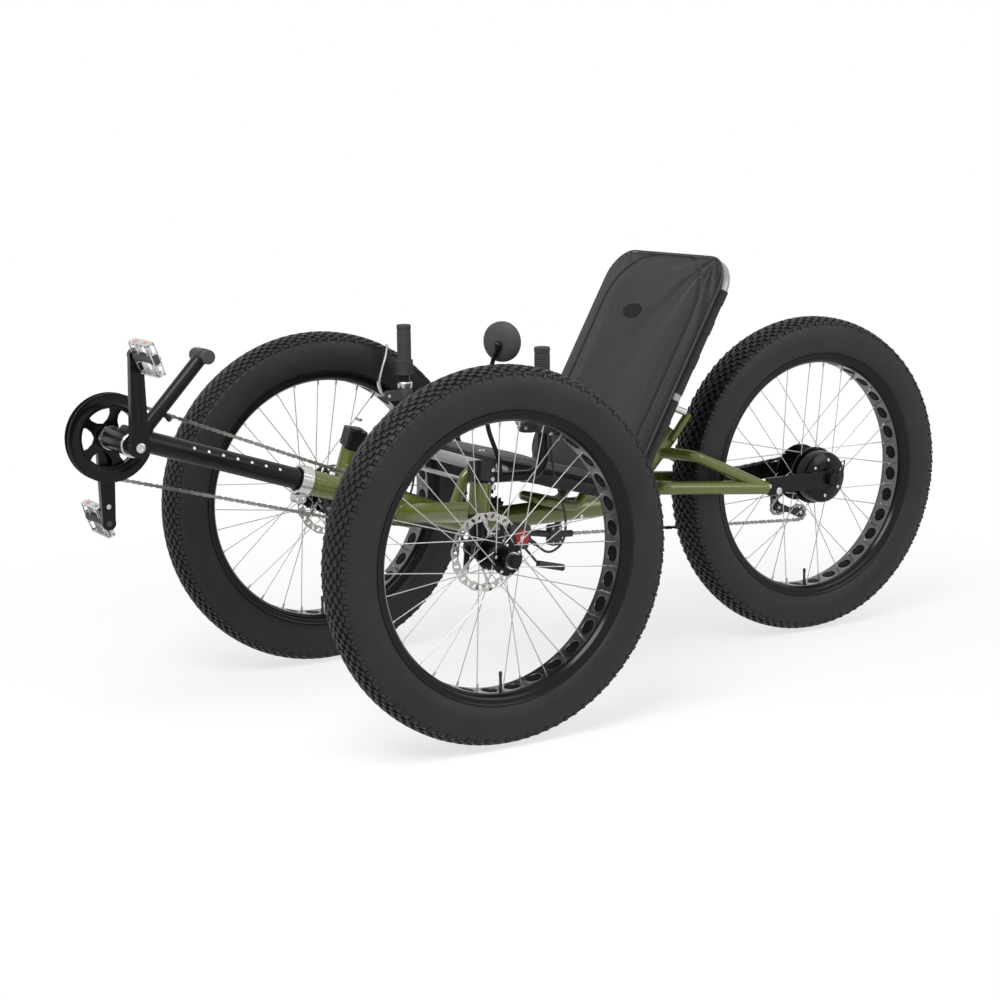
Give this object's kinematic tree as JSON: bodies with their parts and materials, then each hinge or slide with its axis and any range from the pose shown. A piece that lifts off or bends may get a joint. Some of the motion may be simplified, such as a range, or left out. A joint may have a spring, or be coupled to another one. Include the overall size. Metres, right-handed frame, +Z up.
{
  "type": "recumbent trike",
  "caption": "Fat-tyre tadpole recumbent trike with two steered front wheels, a chain-driven rear wheel and a reclined padded seat.",
  "frame": {"origin": "on the floor, at the middle of the overall length and width", "axes": "+Z up, front of the trike towards -Y, the rider's left towards +X"},
  "size_m": [0.902, 2.1629, 0.918],
  "materials": {
    "frame_green": "gloss olive green paint",
    "boom_black": "satin black paint",
    "clamp_silver": "plain silver aluminium",
    "seat_tube": "dark grey paint",
    "seat_fabric": "dark padded fabric and mesh",
    "chain_steel": "oiled steel",
    "black_plastic": "moulded black plastic",
    "grip_rubber": "soft black rubber",
    "brake_black": "black anodised",
    "tyre_rubber": "charcoal tyre rubber",
    "rim_black": "gloss black",
    "spoke_steel": "bright steel wire",
    "hub_black": "black anodised",
    "rotor_steel": "ground steel",
    "crank_black": "gloss black",
    "pedal_metal": "grey cast metal"
  },
  "bodies": {
    "frame": {"spine": "frame_green", "cross_arms": "frame_green", "seat_supports": "frame_green", "seat_mast": "frame_green", "chainstays": "frame_green", "seatstays": "frame_green", "dropouts": "boom_black", "rear_axle": "clamp_silver", "seat_cradle": "frame_green", "boom": "boom_black", "boom_clamp": "clamp_silver", "seat_base_frame": "seat_tube", "seat_back_frame": "seat_tube", "seat_struts": "clamp_silver", "seat_base": "seat_fabric", "seat_back": "seat_fabric", "chain": "chain_steel", "chain_idlers": "black_plastic", "chain_tube": "black_plastic", "derailleur": "black_plastic"},
    "steer_left": {"knuckle_left": "boom_black", "caliper_left": "brake_black", "handlebar_left": "boom_black", "grip_left": "grip_rubber", "brake_lever_left": "black_plastic", "brake_cable_left": "black_plastic", "mirror": "black_plastic"},
    "steer_right": {"knuckle_right": "boom_black", "caliper_right": "brake_black", "handlebar_right": "boom_black", "grip_right": "grip_rubber", "brake_lever_right": "black_plastic", "brake_cable_right": "black_plastic"},
    "tie_rod": {"tie_rod": "clamp_silver"},
    "wheel_left": {"front_left_tyre": "tyre_rubber", "front_left_rim": "rim_black", "front_left_spokes": "spoke_steel", "front_left_hub": "hub_black", "rotor_left": "rotor_steel"},
    "wheel_right": {"front_right_tyre": "tyre_rubber", "front_right_rim": "rim_black", "front_right_spokes": "spoke_steel", "front_right_hub": "hub_black", "rotor_right": "rotor_steel"},
    "wheel_rear": {"rear_tyre": "tyre_rubber", "rear_rim": "rim_black", "rear_spokes": "spoke_steel", "rear_hub": "hub_black", "cassette": "chain_steel"},
    "crank": {"chainring": "crank_black", "crankset": "crank_black"},
    "pedal_left": {"pedal_left": "pedal_metal"},
    "pedal_right": {"pedal_right": "pedal_metal"}
  },
  "joints": [
    {"name": "left_steer", "type": "hinge", "parent": "frame", "child": "steer_left", "pos_m": [0.28525, -0.36373, 0.468], "axis": [-0.2119, 0.2032, 0.9559], "range_deg": [-20, 20]},
    {"name": "right_steer", "type": "hinge", "parent": "frame", "child": "steer_right", "pos_m": [-0.28525, -0.36373, 0.468], "axis": [0.2119, 0.2032, 0.9559], "range_deg": [-20, 20]},
    {"name": "tie_rod_end", "type": "hinge", "parent": "steer_left", "child": "tie_rod", "pos_m": [0.25825, -0.3195, 0.484], "axis": [-0.2119, 0.2032, 0.9559], "range_deg": [-22, 22]},
    {"name": "left_wheel_spin", "type": "hinge", "parent": "steer_left", "child": "wheel_left", "pos_m": [0.389, -0.3835, 0.375], "axis": [1, 0, 0], "continuous": true},
    {"name": "right_wheel_spin", "type": "hinge", "parent": "steer_right", "child": "wheel_right", "pos_m": [-0.389, -0.3835, 0.375], "axis": [1, 0, 0], "continuous": true},
    {"name": "rear_wheel_spin", "type": "hinge", "parent": "frame", "child": "wheel_rear", "pos_m": [0, 0.7065, 0.375], "axis": [1, 0, 0], "continuous": true},
    {"name": "crank_spin", "type": "hinge", "parent": "frame", "child": "crank", "pos_m": [0, -0.9935, 0.605], "axis": [1, 0, 0], "continuous": true},
    {"name": "left_pedal_spin", "type": "hinge", "parent": "crank", "child": "pedal_left", "pos_m": [0.092, -0.9935, 0.78], "axis": [1, 0, 0], "continuous": true},
    {"name": "right_pedal_spin", "type": "hinge", "parent": "crank", "child": "pedal_right", "pos_m": [-0.092, -0.9935, 0.43], "axis": [1, 0, 0], "continuous": true}
  ],
  "couplings": [
    {"joint": "right_steer", "follows": "left_steer", "ratio": 1},
    {"joint": "tie_rod_end", "follows": "left_steer", "ratio": -1.085}
  ]
}
